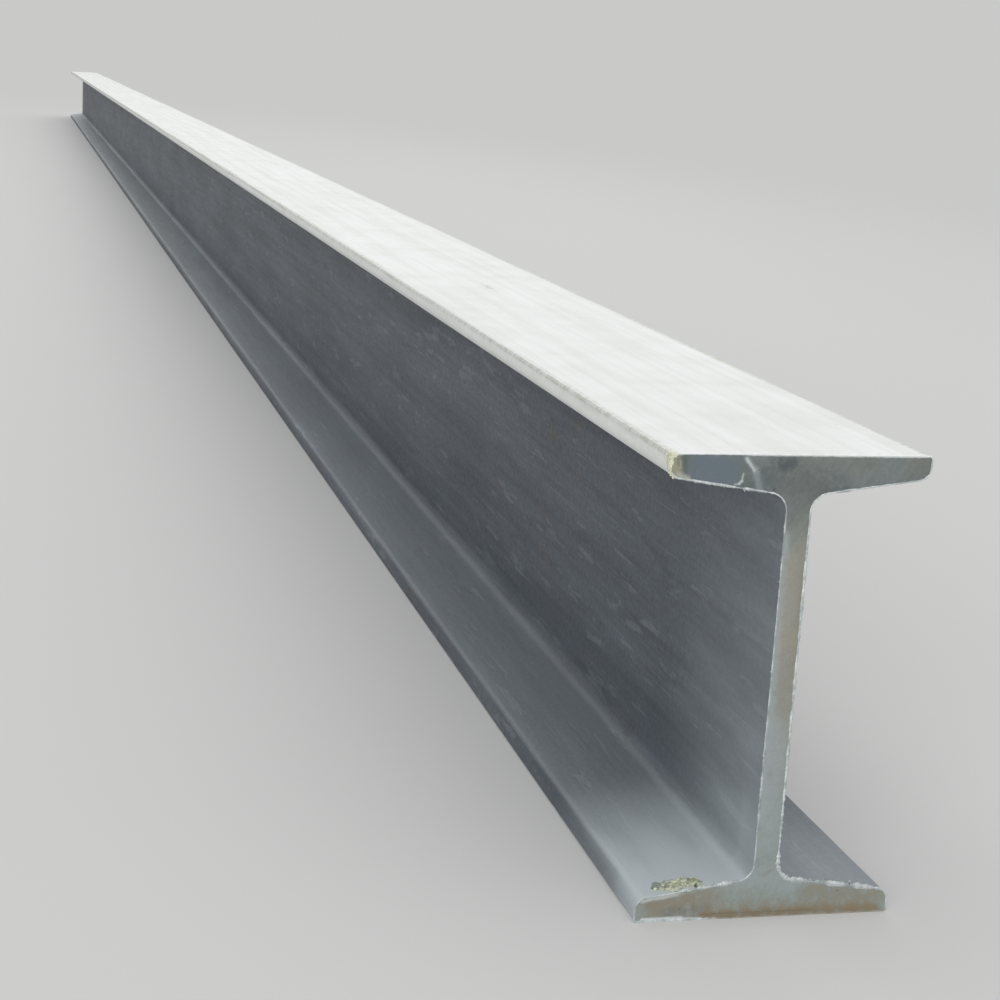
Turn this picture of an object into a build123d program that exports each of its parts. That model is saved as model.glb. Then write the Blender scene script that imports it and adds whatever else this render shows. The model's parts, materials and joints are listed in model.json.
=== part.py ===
from build123d import *
from math import radians, tan
import os

# Steel I-beam, hot rolled in one piece: two flanges whose inner faces taper towards
# their toes, joined by a web, and both ends sawn square. X runs across the flanges,
# Y along the beam and Z up. The origin is under the middle of the beam, on the outer
# face of the bottom flange. All sizes are in millimetres.

# Driving sizes
LENGTH = 6000.0            # one mill length
HEIGHT = 140.0             # over both flanges
WIDTH = 80.0               # across a flange, toe to toe
WEB_THICKNESS = 7.5
FLANGE_THICKNESS = 9.6     # midway between the web and the toe
TAPER_ANGLE = 8.0          # of a flange's inner face to its outer face, in degrees
ROOT_RADIUS = 5.5          # hollow rounding where the web meets a flange
TOE_RADIUS = 3.8           # rounding of a flange's inner edge
OUTER_RADIUS = 1.0         # rounding of a flange's outer edge

# Sizes that follow from them
half_width = WIDTH / 2
half_web = WEB_THICKNESS / 2
taper = tan(radians(TAPER_ANGLE)) * (half_width - half_web)
toe_thickness = FLANGE_THICKNESS - taper / 2
root_thickness = FLANGE_THICKNESS + taper / 2


def rounded(face, heights, from_web, radius):
    """Round the corners of a section face that lie at these heights and this far out."""
    corners = [
        corner
        for corner in face.vertices()
        if any(abs(corner.Y - height) < radius / 2 for height in heights)
        and abs(abs(corner.X) - from_web) < radius / 2
    ]
    return fillet(corners, radius)


def section():
    """The beam's cross-section, standing on y = 0 with its web on x = 0."""
    lower_right = [
        (half_width, 0),
        (half_width, toe_thickness),
        (half_web, root_thickness),
    ]
    upper_right = [(x, HEIGHT - y) for x, y in reversed(lower_right)]
    right = lower_right + upper_right
    left = [(-x, y) for x, y in reversed(right)]
    face = make_face(Polyline(*right, *left, close=True))
    roots = (root_thickness, HEIGHT - root_thickness)
    toes = (toe_thickness, HEIGHT - toe_thickness)
    outer_edges = (0, HEIGHT)
    face = rounded(face, roots, half_web, ROOT_RADIUS)
    face = rounded(face, toes, half_width, TOE_RADIUS)
    return rounded(face, outer_edges, half_width, OUTER_RADIUS)


def i_beam():
    """The whole beam: its section carried along Y, and sawn off square at both ends."""
    beam = extrude(Plane.XZ * section(), amount=LENGTH / 2, both=True)
    beam.label = "i_beam"
    return beam


parts = {"i_beam": i_beam()}

os.makedirs("parts", exist_ok=True)
for name, solid in parts.items():
    export_step(solid, f"parts/{name}.step")
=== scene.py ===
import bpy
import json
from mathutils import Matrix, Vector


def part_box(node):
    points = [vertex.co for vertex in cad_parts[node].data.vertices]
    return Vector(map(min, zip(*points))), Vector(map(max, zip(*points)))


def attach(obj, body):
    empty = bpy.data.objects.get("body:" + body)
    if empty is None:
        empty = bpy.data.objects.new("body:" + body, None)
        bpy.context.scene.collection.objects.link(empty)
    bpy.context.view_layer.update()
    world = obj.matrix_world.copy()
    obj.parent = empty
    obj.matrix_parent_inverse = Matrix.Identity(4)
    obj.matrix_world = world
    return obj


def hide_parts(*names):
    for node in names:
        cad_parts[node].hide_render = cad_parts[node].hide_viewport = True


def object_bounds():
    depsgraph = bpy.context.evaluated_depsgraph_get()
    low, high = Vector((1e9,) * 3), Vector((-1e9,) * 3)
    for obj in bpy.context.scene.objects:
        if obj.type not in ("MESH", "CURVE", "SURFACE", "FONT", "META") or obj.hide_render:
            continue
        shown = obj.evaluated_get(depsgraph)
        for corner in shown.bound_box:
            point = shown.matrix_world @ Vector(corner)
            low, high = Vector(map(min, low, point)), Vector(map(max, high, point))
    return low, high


bl_info = {
    "name": "Rolled Steel Beam",
    "version": (1, 0, 0),
    "blender": (4, 5, 0),
    "location": "3D View > Sidebar > Steel Beam",
    "description": "Gives a rolled I-beam its mill scale, sawn ends, burrs and stage",
    "category": "Object",
}

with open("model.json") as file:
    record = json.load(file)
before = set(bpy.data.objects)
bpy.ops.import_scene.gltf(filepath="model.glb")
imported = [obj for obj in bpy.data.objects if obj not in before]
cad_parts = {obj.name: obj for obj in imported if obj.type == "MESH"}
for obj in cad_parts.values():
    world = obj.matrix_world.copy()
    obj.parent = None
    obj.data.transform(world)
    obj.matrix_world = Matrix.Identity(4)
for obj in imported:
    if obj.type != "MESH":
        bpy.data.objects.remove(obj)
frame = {"record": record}

import json
from math import cos, pi, radians, sin, tan

import bmesh
import bpy
import numpy as np
from bpy.props import FloatProperty, FloatVectorProperty, IntProperty, PointerProperty
from mathutils import Matrix, Vector

# The beam stands on z = 0 with its web on x = 0 and runs along y. Its near end is the one
# at the lower y, and left and right are as seen from there. Lengths are in metres.
NODE = "i_beam"
BODY = "root"
BAKE_MAP = "OFBake"
MM = 0.001

CAD_LOW, CAD_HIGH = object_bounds()
HALF_WIDTH, HALF_LENGTH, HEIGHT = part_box(NODE)[1]
MOUNTS = {mount["name"]: mount["pos_m"] for mount in frame["record"]["mounts"]}
HALF_WEB = MOUNTS["web_right"][0]

# Stretches of an end's edges where the saw left a heavier burr: the lowest and highest x
# and z of the stretch, in millimetres as seen at the near end, and the burr's share of
# its full reach. Other edges have the light burr.
LIGHT_BURR = 0.16
HEAVY_BURRS = (
    ("lower flange, left of the web", (-26, -8), (8, 18), 0.75),
    ("lower flange, right of the web", (7, 37), (6, 18), 0.85),
    ("lower right root", (3, 8.5), (11, 19), 1.0),
    ("lower edge, left", (-38, -17), (-1, 1), 0.55),
    ("web's right side", (3, 5), (22, 112), 0.38),
    ("web's left side", (-5, -3), (24, 60), 0.30),
    ("upper flange, underside left", (-37, -11), (121, 132), 0.34),
    ("upper flange, underside right", (12, 30), (122, 132), 0.26),
    ("upper left toe", (-41, -38), (130, 141), 0.40),
)

# Marks on the near end's sawn face: where each starts and ends, as x and z in
# millimetres, its width, how soft its edge is, its colour and how far it covers.
NEAR_MARKS = (
    ("slate patch", (-29, 135.3), (-23, 134.8), 16, 0.7, "sawn_slate", 0.95),
    ("green side of the slate", (-17.8, 137), (-16.8, 132), 7, 1.0, "sawn_dim", 0.8),
    ("stain by the toe", (-38.3, 138.4), (-37.5, 134), 6.4, 0.9, "sawn_stain", 0.85),
    ("dark edge of the stain", (-35.3, 138.8), (-34.7, 134), 3, 1.0, "crust_dark", 0.42),
    ("dark fleck in the stain", (-36.9, 138), (-37.1, 136.6), 1.6, 1.0, "crust_dark", 0.3),
    ("light fleck in the stain", (-36.4, 137.6), (-36.3, 135.6), 1.3, 1.0, "sawn_pink", 0.7),
    ("foot of the stain", (-37.2, 133), (-34.4, 132), 4.6, 0.8, "sawn_stain", 0.85),
    ("pale side of its foot", (-36.2, 133.4), (-34, 132.2), 3.4, 1.0, "bright_steel", 0.3),
    ("brown tint under it", (-38.2, 131.7), (-35.4, 131.2), 2.2, 1.0, "rust", 0.5),
    ("wide top of the toe's crust", (-39.4, 139.6), (-39.3, 137), 2.2, 0.4, "crust_cream", 1.0),
    ("narrow foot of the toe's crust", (-39.5, 136), (-39.2, 133.4), 1.4, 0.5, "crust_cream", 0.9),
    ("crust along the upper edge", (-39, 139.5), (-35.4, 139.6), 1.2, 0.8, "crust_cream", 0.6),
    ("bright streak", (-16.9, 138.4), (-13.6, 134.6), 2.6, 0.9, "sawn_cool", 0.9),
    ("wide end of the streak", (-13.8, 134.8), (-12.0, 128.6), 3.4, 0.9, "sawn_cool", 0.85),
    ("core of the streak", (-16.9, 138.2), (-14.2, 134.9), 1.3, 1.0, "bright_steel", 0.6),
    ("hook's stem", (-17.5, 134.0), (-17.8, 131.9), 1.0, 1.0, "bright_steel", 0.5),
    ("hook's heel", (-17.8, 131.9), (-18.5, 131.2), 1.3, 1.0, "bright_steel", 0.6),
    ("hook's foot", (-18.5, 131.2), (-19.7, 131.0), 1.0, 1.0, "bright_steel", 0.5),
    ("smudge", (-8, 138), (-3.4, 137.4), 8, 1.0, "scale_dark", 0.5),
    ("dim middle of the upper flange", (-10, 132), (10, 130), 17, 0.8, "scale_dark", 0.32),
    ("pale line on the upper edge", (-16, 139.5), (38, 139.5), 1.2, 0.8, "bright_steel", 0.75),
    ("warm side of the web", (2.4, 112), (1.8, 62), 9, 1.0, "sawn_warm", 0.6),
    ("tan shade on that side", (3.2, 104), (2.6, 78), 4, 1.0, "sawn_tan", 0.2),
    ("cool side of the web", (-3.2, 116), (-2.8, 30), 4.6, 1.0, "sawn_cool", 0.8),
    ("pink of the web", (-1, 108), (0, 84), 10, 1.0, "sawn_pink", 0.35),
    ("lower part of the web", (-0.6, 60), (-0.4, 24), 11, 1.0, "sawn_cool", 0.55),
    ("warm left of the lower flange", (-33, 4.2), (-18, 6), 15, 0.9, "sawn_warm", 1.0),
    ("tan shade of it", (-31, 4.2), (-24, 5), 12, 1.0, "sawn_tan", 0.32),
    ("dark left of the lower flange", (-30, 2.6), (-18, 3.4), 5, 1.0, "sawn_dim", 0.35),
    ("pale edge beside the crust", (-37.4, 6.6), (-27, 8.3), 2.2, 1.0, "bright_steel", 0.5),
    ("green under the crust", (-27, 8.5), (-22, 9.2), 2, 1.0, "crust_green", 0.6),
    ("seam beside the crust", (-21.7, 8.6), (-21.3, 1.2), 0.8, 1.0, "sawn_tan", 0.5),
    ("bright lower edge", (-37, 0.6), (-25, 0.7), 2, 0.8, "bright_steel", 0.95),
    ("thinner part of that edge", (-25, 0.5), (-15, 0.4), 1.3, 0.8, "bright_steel", 0.8),
    ("tan stain", (-14, 1.8), (32, 3.4), 11, 1.0, "sawn_tan", 0.45),
    ("dim right of the lower flange", (14, 7.6), (36, 5.8), 10, 1.0, "sawn_warm", 0.9),
    ("cool middle of the lower flange", (-7, 12.4), (8, 11), 11, 1.0, "sawn_cool", 0.6),
    ("tan lower edge", (-18, 1.5), (36, 1.5), 5.4, 1.0, "sawn_tan", 0.9),
    # A painted shadow along the groove above the lower edge's burr.
    ("olive line over the lower edge", (-19, 1.7), (16, 1.6), 0.9, 1.0, "crust_dark", 0.25),
)


def number_property(name, description, default):
    return FloatProperty(name=name, description=description, default=default)


def length_property(name, description, default):
    return FloatProperty(
        name=name, description=description, default=default, unit="LENGTH", precision=5)


def angle_property(name, description, degrees):
    return FloatProperty(
        name=name, description=description, default=radians(degrees), unit="ROTATION")


def count_property(name, description, default):
    return IntProperty(name=name, description=description, default=default, min=0)


def colour_property(name, description, default):
    return FloatVectorProperty(
        name=name, description=description, default=default, subtype="COLOR", min=0.0, max=1.0)


class BeamSection(bpy.types.PropertyGroup):
    """The rolled section between its flanges' toes."""

    flange_thickness: length_property(
        "Flange thickness", "Midway between the web and the toe", 9.6 * MM)
    taper_angle: angle_property("Taper", "Angle of a flange's inner face", 8.0)
    root_radius: length_property("Root radius", "Where the web meets a flange", 5.5 * MM)
    toe_radius: length_property("Toe radius", "At a flange's inner edge", 3.8 * MM)
    outer_radius: length_property("Outer radius", "At a flange's outer edge", 1.0 * MM)
    skin_setback: length_property(
        "Skin setback", "From the box's sides and top to the rolled skin", 0.35 * MM)
    rest_setback: length_property(
        "Rest setback", "From the floor to the skin of the lower flange", 0.08 * MM)
    waviness: length_property("Waviness", "How far the rolled faces swell and sink", 0.07 * MM)
    nick_depth: length_property("Nick depth", "Deepest nick in a flange's edge", 0.5 * MM)
    nick_count: count_property("Nicks", "Nicks in the flanges' edges near each end", 26)


class SawnEnds(bpy.types.PropertyGroup):
    """The sawn ends and what the saw left on their edges."""

    face_setback: length_property(
        "Face setback", "From the end of the box to the sawn face", 0.55 * MM)
    arris: length_property("Arris", "Width of the worn edge round the face", 0.25 * MM)
    burr_step: length_property("Burr step", "Spacing of points along a burr", 0.35 * MM)
    burr_reach: length_property(
        "Burr reach", "How far the heaviest burr stands out from a face", 1.2 * MM)
    sliver_count: count_property("Slivers", "Torn slivers along each end's edges", 170)
    sliver_size: length_property("Sliver size", "Length of a middling sliver", 0.7 * MM)


class Deposits(bpy.types.PropertyGroup):
    """The crusts by the near end."""

    grain_size: length_property("Grain size", "Width of a middling grain", 1.0 * MM)
    patch_grains: count_property("Patch grains", "Grains on the lower flange", 760)
    toe_grains: count_property("Toe grains", "Grains on the upper flange's left toe", 320)


class SteelColours(bpy.types.PropertyGroup):
    """Colours of the steel and of what lies on it."""

    scale_dark: colour_property("Dark scale", "Blue-grey of thick scale", (0.045, 0.057, 0.073))
    scale_light: colour_property("Light scale", "Blue-grey of thin scale", (0.122, 0.148, 0.172))
    # Near-white of the upper flange's top: painted sunlight on grey steel.
    sunlit_white: colour_property(
        "Pale film", "Bleached film on the upper flange", (0.82, 0.845, 0.835))
    top_dirt: colour_property(
        "Film dirt", "Grey-beige dirt in the pale film", (0.42, 0.41, 0.35))
    dust: colour_property("Dust", "Dust on faces that look up", (0.47, 0.52, 0.545))
    sawn_grey: colour_property("Sawn grey", "Web of a sawn end", (0.29, 0.30, 0.265))
    sawn_green: colour_property(
        "Sawn green-grey", "Lower flange of a sawn end", (0.30, 0.35, 0.335))
    sawn_dim: colour_property(
        "Sawn dim", "Upper flange of a sawn end", (0.142, 0.17, 0.163))
    sawn_slate: colour_property(
        "Sawn slate", "Bluish patch on a sawn end", (0.137, 0.17, 0.2))
    sawn_cool: colour_property(
        "Sawn cool", "Bluish light grey of a sawn end", (0.33, 0.37, 0.38))
    sawn_warm: colour_property(
        "Sawn warm", "Warm grey of a sawn end", (0.27, 0.265, 0.22))
    sawn_stain: colour_property("Sawn stain", "Stain beside a crust", (0.35, 0.34, 0.25))
    sawn_pink: colour_property("Sawn pink", "Pinkish tint", (0.37, 0.34, 0.285))
    sawn_tan: colour_property("Sawn tan", "First rust on a sawn end", (0.255, 0.205, 0.13))
    bright_steel: colour_property("Bright steel", "Burrs and bright marks", (0.66, 0.70, 0.71))
    crust_cream: colour_property("Crust cream", "Pale crust", (0.86, 0.87, 0.66))
    crust_green: colour_property("Crust green", "Pale green crust", (0.44, 0.49, 0.33))
    # Dark olive: painted shade in the crust's hollows, dark marks on the near end, and the painted
    # shadow line over its lower edge.
    crust_dark: colour_property("Crust dark", "Damp hollows of a crust", (0.07, 0.09, 0.05))
    rust: colour_property("Rust", "Rust specks", (0.17, 0.085, 0.04))


class StageLook(bpy.types.PropertyGroup):
    """The floor, lamps and camera."""

    floor: colour_property("Floor", "Colour of the floor", (0.62, 0.62, 0.615))
    backdrop: colour_property(
        "Backdrop", "What the camera sees past the floor", (0.585, 0.585, 0.58))
    sky: number_property("Sky", "Strength of the even light", 0.46)
    top_lamp: number_property("Top lamp", "Its light on the upper flange", 1.12)
    front_lamp: number_property("Front lamp", "Its light on the near end", 0.46)
    back_lamp: number_property("Back lamp", "Its light on the far end", 0.3)
    camera_distance: length_property(
        "Camera distance", "From the middle of the near end", 0.5855)
    camera_azimuth: angle_property(
        "Camera azimuth", "How far to the left the camera stands", 22.8)
    camera_elevation: angle_property(
        "Camera elevation", "Above the middle of the near end", 17.1)
    camera_roll: angle_property("Camera roll", "Tilt of the frame", 3.4)
    aim_depth: length_property(
        "Aim depth", "From the near end to the point that the camera looks at", 0.348)
    aim_height: length_property("Aim height", "Of that point above the floor", 0.048)
    lens: number_property("Lens", "Focal length in millimetres", 72.0)


class Section:
    """The rolled section as a net of points over both flanges and the web.

    A net point is (part, column, row). The parts are lower, upper and web. Columns count
    from the web's middle, to the left below zero. A flange's rows run from its outer face
    to its inner one, and the web's rows run up.
    """

    core = 3
    root_steps = 8
    slope_steps = 9
    toe_steps = 6
    edge_steps = 4
    rows = 6
    web_rows = 24

    def __init__(self, shape):
        self.half_width = HALF_WIDTH - shape.skin_setback
        self.setback = {"lower": shape.rest_setback, "upper": shape.skin_setback}
        self.angle = shape.taper_angle
        self.toe = shape.flange_thickness - tan(self.angle) * (HALF_WIDTH - HALF_WEB) / 2
        self.toe_radius = shape.toe_radius
        self.root_radius = shape.root_radius
        self.outer_radius = shape.outer_radius
        self.reach = self.core + self.root_steps + self.slope_steps + self.toe_steps
        self.toe_centre = self.beside_slope(
            self.half_width - self.toe_radius, -self.toe_radius)
        self.root_centre = self.beside_slope(HALF_WEB + self.root_radius, self.root_radius)

    def slope(self, x):
        """Height of the lower flange's inner face."""
        return self.toe + (HALF_WIDTH - x) * tan(self.angle)

    def beside_slope(self, x, distance):
        """The point at x that lies this far above the inner face, square to it."""
        return x, self.slope(x) + distance / cos(self.angle)

    def inner(self, column, grown):
        """A point on the lower flange's inner side, with the section this much fatter."""
        if column <= self.core:
            return (HALF_WEB + grown) * column / self.core, self.root_centre[1]
        column -= self.core
        if column <= self.root_steps:
            turn = (pi / 2 - self.angle) * column / self.root_steps
            radius = self.root_radius - grown
            x, z = self.root_centre
            return x - radius * cos(turn), z - radius * sin(turn)
        column -= self.root_steps
        if column < self.slope_steps:
            start = self.root_centre[0] - self.root_radius * sin(self.angle)
            stop = self.toe_centre[0] + self.toe_radius * sin(self.angle)
            x = start + (stop - start) * column / self.slope_steps
            return x + grown * sin(self.angle), self.slope(x) + grown * cos(self.angle)
        column -= self.slope_steps
        turn = (pi / 2 - self.angle) * (1 - column / self.toe_steps)
        radius = self.toe_radius + grown
        x, z = self.toe_centre
        return x + radius * cos(turn), z + radius * sin(turn)

    def outer(self, column, grown, setback):
        """The point on the flange's outer side that belongs to the same column."""
        flat = self.reach - self.edge_steps
        edge = self.half_width - self.outer_radius
        if column <= flat:
            return edge * self.inner(column, 0)[0] / self.inner(flat, 0)[0], setback - grown
        turn = pi / 2 * (column - flat) / self.edge_steps
        radius = self.outer_radius + grown
        return edge + radius * sin(turn), setback + self.outer_radius - radius * cos(turn)

    def point(self, key, grown=0.0):
        """Where a net point lies, as (x, z)."""
        part, column, row = key
        side = -1 if column < 0 else 1
        x, z = self.inner(abs(column), grown)
        if part == "web":
            return side * x, z + (HEIGHT - 2 * z) * row / self.web_rows
        start = self.outer(abs(column), grown, self.setback[part])
        share = row / self.rows
        x = start[0] + (x - start[0]) * share
        z = start[1] + (z - start[1]) * share
        return side * x, z if part == "lower" else HEIGHT - z

    def rim_keys(self):
        """The net points on the section's outline, anticlockwise from the near end."""
        reach, core, rows = self.reach, self.core, self.rows
        right = [("lower", reach, row) for row in range(1, rows)]
        right += [("lower", column, rows) for column in range(reach, core - 1, -1)]
        right += [("web", core, row) for row in range(1, self.web_rows)]
        right += [("upper", column, rows) for column in range(core, reach + 1)]
        right += [("upper", reach, row) for row in range(rows - 1, 0, -1)]
        keys = [("lower", column, 0) for column in range(-reach, reach + 1)] + right
        keys += [("upper", column, 0) for column in range(reach, -reach - 1, -1)]
        return keys + [(part, -column, row) for part, column, row in reversed(right)]

    def outline(self, grown=0.0):
        return np.array([self.point(key, grown) for key in self.rim_keys()])

    def normals(self):
        """Directions out of the steel at the outline's points."""
        out = self.outline(grown=0.1 * MM) - self.outline()
        return out / np.linalg.norm(out, axis=1)[:, None]

    def joined(self, key):
        """The one name of a point that the web shares with a flange."""
        part, column, row = key
        if part == "web" and row == 0:
            return "lower", column, self.rows
        if part == "web" and row == self.web_rows:
            return "upper", column, self.rows
        return key

    def quads(self):
        """The net's faces, anticlockwise from the near end."""
        blocks = (("lower", self.reach, self.rows), ("upper", self.reach, self.rows),
                  ("web", self.core, self.web_rows))
        for part, reach, rows in blocks:
            for column in range(-reach, reach):
                for row in range(rows):
                    corners = [(part, column, row), (part, column + 1, row),
                               (part, column + 1, row + 1), (part, column, row + 1)]
                    if part == "upper":
                        corners.reverse()
                    yield [self.joined(key) for key in corners]


class Ripple:
    """Smooth noise between -1 and 1 over one or more distances."""

    waves = 9

    def __init__(self, seed, *lengths):
        rng = np.random.default_rng(seed)
        self.phases = rng.uniform(0, 2 * pi, self.waves)
        self.rates = 2 * pi * rng.normal(size=(self.waves, len(lengths))) / np.array(lengths)

    def __call__(self, *places):
        total = 0.0
        for phase, rates in zip(self.phases, self.rates):
            for place, rate in zip(places, rates):
                phase = phase + place * rate
            total = total + np.sin(phase)
        return np.clip(total / np.sqrt(2 * self.waves), -1, 1)


def distances_along(points):
    """Distance of each point of a closed outline from its first, and the whole length."""
    steps = np.linalg.norm(np.roll(points, -1, axis=0) - points, axis=1)
    return np.concatenate([[0.0], np.cumsum(steps)])


def grid_quads(rows, columns, closed):
    """Quads of a grid of points whose columns close on themselves, as its rows may."""
    starts = np.arange(rows if closed else rows - 1)
    i, j = np.meshgrid(starts, np.arange(columns), indexing="ij")
    next_i = (i + 1) % rows
    next_j = (j + 1) % columns
    return np.stack([i * columns + j, next_i * columns + j, next_i * columns + next_j,
                     i * columns + next_j], axis=-1).reshape(-1, 4)


def mesh_from(name, vertices, faces, sharp_angle):
    """A smooth mesh inside the CAD box, with edges sharper than the angle kept sharp."""
    held = np.clip(vertices, np.array(CAD_LOW), np.array(CAD_HIGH))
    mesh = bpy.data.meshes.new(name)
    mesh.from_pydata(held.tolist(), [], faces)
    mesh.validate()
    mesh.shade_smooth()
    mesh.set_sharp_from_angle(angle=sharp_angle)
    return mesh


def place_piece(name, mesh, materials):
    """Adds a piece of the beam that rides on its body."""
    piece = bpy.data.objects.new(name, mesh)
    bpy.context.scene.collection.objects.link(piece)
    for material in materials:
        mesh.materials.append(material)
    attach(piece, BODY)
    return piece


# The rolled beam's mesh

RING_STEP_AT_END = 2.5 * MM
FINE_RINGS = 120 * MM
RING_GROWTH = 1.07
LONGEST_RING_STEP = 80 * MM
# Rings over the worn edge round a sawn face, as shares of its width.
ARRIS_RINGS = (0.0, 0.3, 1.0)
SKIN_SHARP_ANGLE = radians(32)
# Long and short waves in the rolled faces: the seed, the wave's length round the section
# and along the beam, and its share of the waviness.
WAVES = ((3, 45 * MM, 260 * MM, 0.7), (4, 9 * MM, 60 * MM, 0.3))
# Nicks in the flanges' edges: how far in their middles lie, how they crowd towards the
# end, their widths in millimetres, their lengths in ring steps and their shares of the
# deepest.
NICK_SEED = 11
NICK_MARGIN = 0.5 * MM
NICK_CROWDING = 1.5
NICK_WIDTHS = (0.5, 1.3)
NICK_LENGTHS = (1.0, 3.5)
NICK_SHARES = (0.2, 1)

# Stretches of the beam, as distances from its near end, and where each lies in the bake
# map: the column's left edge, then the stretch's lower and upper edge.
MAP_COLUMN_WIDTH = 0.352
MAP_STRETCHES = (
    (0.0, 0.35, 0.005, 0.005, 0.335),
    (0.35, 2.2, 0.005, 0.341, 0.995),
    (2.2, 5.65, 0.367, 0.005, 0.795),
    (5.65, 6.0, 0.367, 0.801, 0.995),
)
MAP_FACE_SIZE = (0.262, 0.46)
MAP_NEAR_FACE = (0.731, 0.53)
MAP_FAR_FACE = (0.731, 0.04)


def ring_depths():
    """How far in from an end the rings lie, up to the beam's middle."""
    depths = [RING_STEP_AT_END]
    step = RING_STEP_AT_END
    while depths[-1] + step < HALF_LENGTH:
        depths.append(depths[-1] + step)
        if depths[-1] > FINE_RINGS:
            step = min(step * RING_GROWTH, LONGEST_RING_STEP)
    return np.array(depths)


def nick_field(section, shape, along, depths, seed):
    """How far nicks in the flanges' edges sink the skin, by ring and outline point."""
    rng = np.random.default_rng(seed)
    outline = section.outline()
    edges = np.flatnonzero(np.abs(outline[:, 0]) > section.half_width - NICK_MARGIN)
    sunk = np.zeros((len(depths), len(outline)))
    for _ in range(shape.nick_count):
        centre = along[rng.choice(edges)]
        depth = FINE_RINGS * rng.uniform(0, 1) ** NICK_CROWDING
        width = rng.uniform(*NICK_WIDTHS) * MM
        length = rng.uniform(*NICK_LENGTHS) * RING_STEP_AT_END
        gap = np.abs(along[:-1] - centre)
        gap = np.minimum(gap, along[-1] - gap)
        across = np.exp(-(gap / width) ** 2)
        lengthwise = np.exp(-((depths - depth) / length) ** 2)
        sunk += shape.nick_depth * rng.uniform(*NICK_SHARES) * np.outer(lengthwise, across)
    return np.minimum(sunk, shape.nick_depth)


def ring_at(points, y):
    """Points of the section as a ring at this place along the beam."""
    return np.column_stack([points[:, 0], np.full(len(points), y), points[:, 1]])


def skin_rings(section, shape, ends):
    """Every ring of the skin from the near end to the far one, as points."""
    outline = section.outline()
    normals = section.normals()
    along = distances_along(outline)
    depths = ring_depths()
    ripples = [(share, Ripple(seed, *lengths)) for seed, *lengths, share in WAVES]
    rings = []
    for side in (-1, 1):
        half = []
        for share in ARRIS_RINGS:
            back = ends.face_setback + ends.arris * share ** 2
            points = section.outline(grown=-ends.arris * (1 - share))
            half.append(ring_at(points, side * (HALF_LENGTH - back)))
        sunk = nick_field(section, shape, along, depths, NICK_SEED + side)
        for depth, nicks in zip(depths, sunk):
            y = side * (HALF_LENGTH - depth)
            wave = sum(share * ripple(along[:-1], y) for share, ripple in ripples)
            lift = shape.waviness * wave - nicks
            half.append(ring_at(outline + normals * lift[:, None], y))
        rings += half if side < 0 else half[::-1]
    return np.array(rings)


def beam_mesh(shape, ends):
    """The whole beam as one closed mesh, with the bake map."""
    section = Section(shape)
    rings = skin_rings(section, shape, ends)
    ring_count, ring_size = rings.shape[:2]
    vertices = rings.reshape(-1, 3).tolist()
    faces = grid_quads(ring_count, ring_size, closed=False).tolist()
    skin_count = len(faces)
    rim = section.rim_keys()
    inner = sorted({key for quad in section.quads() for key in quad} - set(rim))
    for side, first in ((-1, 0), (1, (ring_count - 1) * ring_size)):
        number = {key: first + n for n, key in enumerate(rim)}
        for key in inner:
            number[key] = len(vertices)
            x, z = section.point(key, grown=-ends.arris)
            vertices.append((x, side * (HALF_LENGTH - ends.face_setback), z))
        for quad in section.quads():
            corners = [number[key] for key in quad]
            faces.append(corners if side < 0 else corners[::-1])
    vertices = np.array(vertices)
    mesh = mesh_from(NODE, vertices, faces, SKIN_SHARP_ANGLE)
    is_face = np.arange(len(faces)) >= skin_count
    mesh.polygons.foreach_set("material_index", is_face.astype(np.int32))
    draw_bake_map(mesh, section, rings, vertices)
    return mesh


def draw_bake_map(mesh, section, rings, vertices):
    """Lays the skin out in stretches side by side, and the two sawn faces beside them."""
    ring_size = rings.shape[1]
    across = distances_along(section.outline())
    across = across / across[-1] * MAP_COLUMN_WIDTH
    depth = rings[:, 0, 1] + HALF_LENGTH
    quads = (len(rings) - 1) * ring_size
    middle = (depth[:-1] + depth[1:]) / 2
    skin_map = np.zeros((len(rings) - 1, ring_size, 4, 2))
    for start, stop, left, low, high in MAP_STRETCHES:
        rows = np.flatnonzero((middle >= start) & (middle < stop))
        first, last = depth[rows[0]], depth[rows[-1] + 1]
        for corner, (next_ring, next_point) in enumerate(((0, 0), (1, 0), (1, 1), (0, 1))):
            up = (depth[rows + next_ring] - first) / (last - first)
            skin_map[rows, :, corner, 0] = left + across[next_point:ring_size + next_point]
            skin_map[rows, :, corner, 1] = (low + (high - low) * up)[:, None]
    places = np.zeros((len(mesh.loops), 2))
    places[:quads * 4] = skin_map.reshape(-1, 2)
    corners = np.zeros(len(mesh.loops), np.int32)
    mesh.loops.foreach_get("vertex_index", corners)
    spots = vertices[corners[quads * 4:]]
    shares = np.column_stack([spots[:, 0] / HALF_WIDTH / 2 + 0.5, spots[:, 2] / HEIGHT])
    start = np.where(spots[:, 1:2] < 0, MAP_NEAR_FACE, MAP_FAR_FACE)
    places[quads * 4:] = start + shares * MAP_FACE_SIZE
    layer = mesh.uv_layers.new(name=BAKE_MAP)
    layer.uv.foreach_set("vector", places.ravel())


# The burrs

BURR_SHARP_ANGLE = radians(50)
BURR_SMOOTHING = 17
# The pieces by name: the side that each is on, and the seeds of its strip and slivers.
BURR_PIECES = (("near_burrs", -1, 20, 25), ("far_burrs", 1, 40, 45))
# A burr's torn rim: the middle of its height, the length and share of its long and short
# tears, the least of it that is left, how far its tip strays, how proud it stands as a
# share of the sawn face's setback, and what a burr of no reach would have of that.
RIM_MIDDLE = 0.62
TEARS = ((9 * MM, 0.3), (1.6 * MM, 0.32))
LEAST_RIM = 0.05
RIM_JAG = 0.3
BURR_RISE = 0.85
LIGHT_RISE = 0.35
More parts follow.
